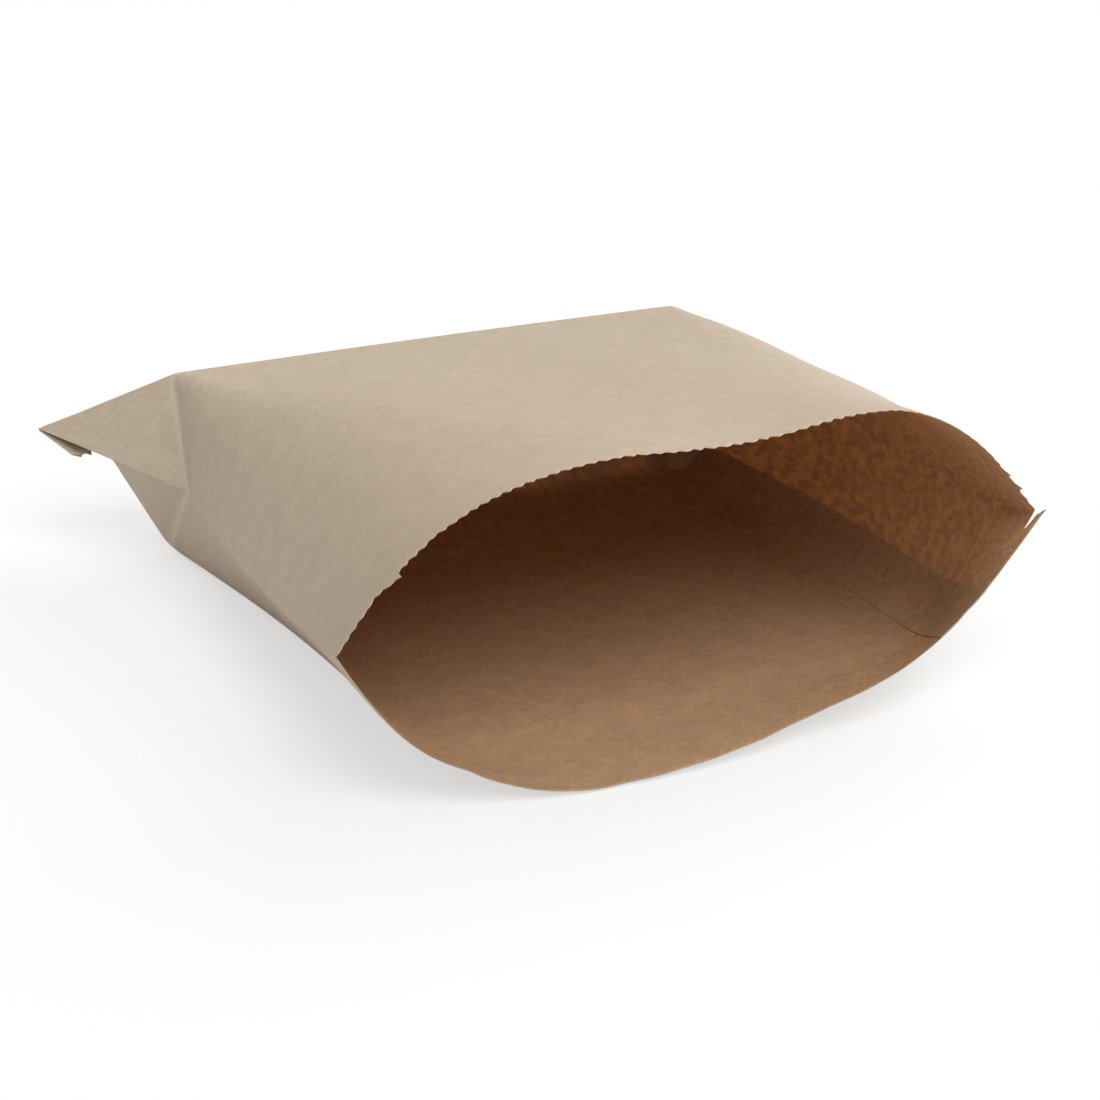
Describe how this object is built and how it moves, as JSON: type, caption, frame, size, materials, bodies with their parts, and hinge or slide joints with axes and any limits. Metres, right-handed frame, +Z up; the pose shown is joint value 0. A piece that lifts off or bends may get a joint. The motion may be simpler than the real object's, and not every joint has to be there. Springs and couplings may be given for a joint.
{
  "type": "paper sandwich bag",
  "caption": "Flat brown kraft paper sandwich bag, opened and lying on its lower panel, with a squared-off closed end, pointed ears, a sawn mouth edge and a glued lengthwise lap.",
  "frame": {"origin": "on the table, under the middle of the opened bag's box", "axes": "+Z up, +X across the bag towards the side with the glued lap, -Y out of the mouth, +Y towards the closed end"},
  "size_m": [0.212, 0.2124, 0.0801],
  "materials": {
    "kraft_paper": "uncoated brown kraft, matt"
  },
  "bodies": {
    "root": {"paper_bag": "kraft_paper"}
  },
  "joints": []
}
